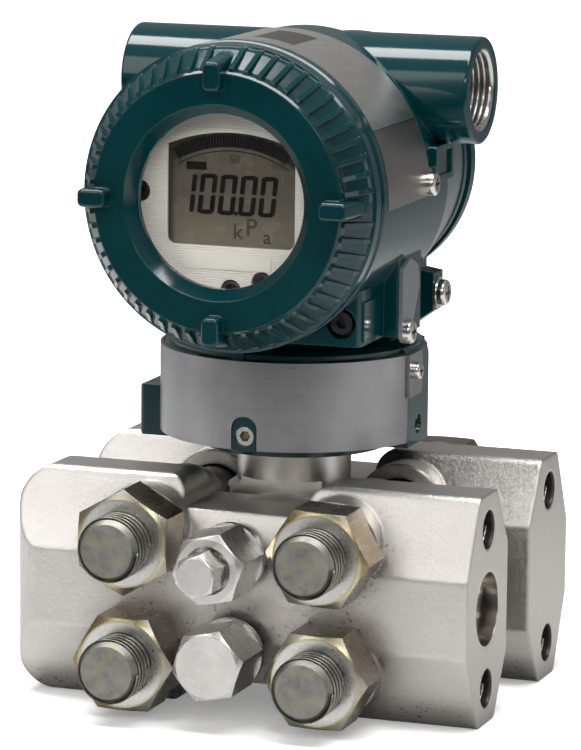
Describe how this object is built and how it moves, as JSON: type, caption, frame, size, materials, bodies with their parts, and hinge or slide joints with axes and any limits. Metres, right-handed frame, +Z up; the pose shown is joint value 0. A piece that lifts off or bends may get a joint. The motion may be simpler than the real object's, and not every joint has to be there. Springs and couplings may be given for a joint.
{
  "type": "gauge pressure transmitter",
  "caption": "Process pressure transmitter: round display housing with ribbed screw covers and a conduit tube, on a neck above a bolted pair of pressure flanges.",
  "frame": {"origin": "centre of the process port in the end face of the front flange", "axes": "+X out of the process port along the conduit tube, +Y from the display side to the terminal side, +Z up along the capsule neck"},
  "size_m": [0.124, 0.1271, 0.1738],
  "materials": {
    "cast_stainless": "blasted",
    "zinc_plated": "satin",
    "bright_stainless": "machined",
    "sheet_stainless": "satin",
    "nickel_plated": "bright",
    "alloy_steel": "dark",
    "capsule_steel": "machined",
    "foil": "bright",
    "seal_white": "matt",
    "seal_black": "matt",
    "teal_paint": "gloss",
    "window_glass": "clear",
    "bezel_white": "fine texture",
    "lcd": "gloss",
    "black_steel": "black oxide",
    "circuit_board": "satin",
    "spacer_metal": "satin",
    "terminal_plastic": "satin",
    "grey_steel": "matt"
  },
  "bodies": {
    "meter_body": {"front_cover_flange": "cast_stainless", "rear_cover_flange": "cast_stainless", "flange_bolts": "alloy_steel", "flange_nuts": "zinc_plated", "vent_plug": "bright_stainless", "drain_plug": "bright_stainless", "sensor_capsule": "capsule_steel", "isolating_diaphragms": "foil", "flange_gaskets": "seal_white", "neck_o_ring": "seal_black"},
    "transmitter_section": {"housing": "teal_paint", "collar_band": "sheet_stainless", "band_screw": "nickel_plated", "tag_plate": "sheet_stainless", "tag_plate_screw": "nickel_plated", "set_screws": "alloy_steel", "cover_lock_screws": "alloy_steel", "zero_cover_screw": "nickel_plated", "ground_washer": "nickel_plated", "ground_screw": "nickel_plated", "indicator_bezel": "bezel_white", "lcd_panel": "lcd", "indicator_screws": "black_steel", "indicator_board": "circuit_board", "cpu_board": "circuit_board", "board_standoffs": "spacer_metal", "terminal_block": "terminal_plastic", "terminal_screws": "nickel_plated", "terminal_fixing_screws": "nickel_plated"},
    "front_seal": {"front_cover_o_ring": "seal_black"},
    "front_cover_group": {"front_cover": "teal_paint", "window_gasket": "seal_black", "window_glass": "window_glass", "window_retainer": "spacer_metal"},
    "rear_seal": {"rear_cover_o_ring": "seal_black"},
    "rear_cover_group": {"rear_cover": "teal_paint"},
    "zero_screw": {"zero_adjust_screw": "nickel_plated"},
    "zero_plate": {"zero_screw_cover": "grey_steel"},
    "vent_screw_body": {"vent_screw": "bright_stainless"}
  },
  "joints": [
    {"name": "section_turn", "type": "hinge", "parent": "meter_body", "child": "transmitter_section", "pos_m": [-0.062, 0.027, 0.045], "axis": [0, 0, 1], "range_deg": [-180, 180]},
    {"name": "front_cover_travel", "type": "slide", "parent": "transmitter_section", "child": "front_seal", "axis": [0, -1, 0], "range_m": [0, 0.0105]},
    {"name": "front_cover_turn", "type": "hinge", "parent": "front_seal", "child": "front_cover_group", "pos_m": [-0.062, -0.023, 0.1045], "axis": [0, -1, 0], "range_deg": [0, 2520]},
    {"name": "rear_cover_travel", "type": "slide", "parent": "transmitter_section", "child": "rear_seal", "axis": [0, 1, 0], "range_m": [0, 0.0105]},
    {"name": "rear_cover_turn", "type": "hinge", "parent": "rear_seal", "child": "rear_cover_group", "pos_m": [-0.062, 0.072, 0.1045], "axis": [0, 1, 0], "range_deg": [0, 2520]},
    {"name": "zero_adjust_turn", "type": "hinge", "parent": "transmitter_section", "child": "zero_screw", "pos_m": [-0.031, 0.016, 0.077], "axis": [1, 0, 0], "continuous": true},
    {"name": "zero_plate_swing", "type": "hinge", "parent": "transmitter_section", "child": "zero_plate", "pos_m": [-0.0271, 0.0116, 0.068], "axis": [1, 0, 0], "range_deg": [0, 90]},
    {"name": "vent_screw_turn", "type": "hinge", "parent": "meter_body", "child": "vent_screw_body", "pos_m": [-0.062, -0.033, 0.0124], "axis": [0, -1, 0], "range_deg": [0, 360]}
  ],
  "couplings": [
    {"joint": "front_cover_travel", "follows": "front_cover_turn", "m_per_rad": 0.00023873},
    {"joint": "rear_cover_travel", "follows": "rear_cover_turn", "m_per_rad": 0.00023873}
  ]
}
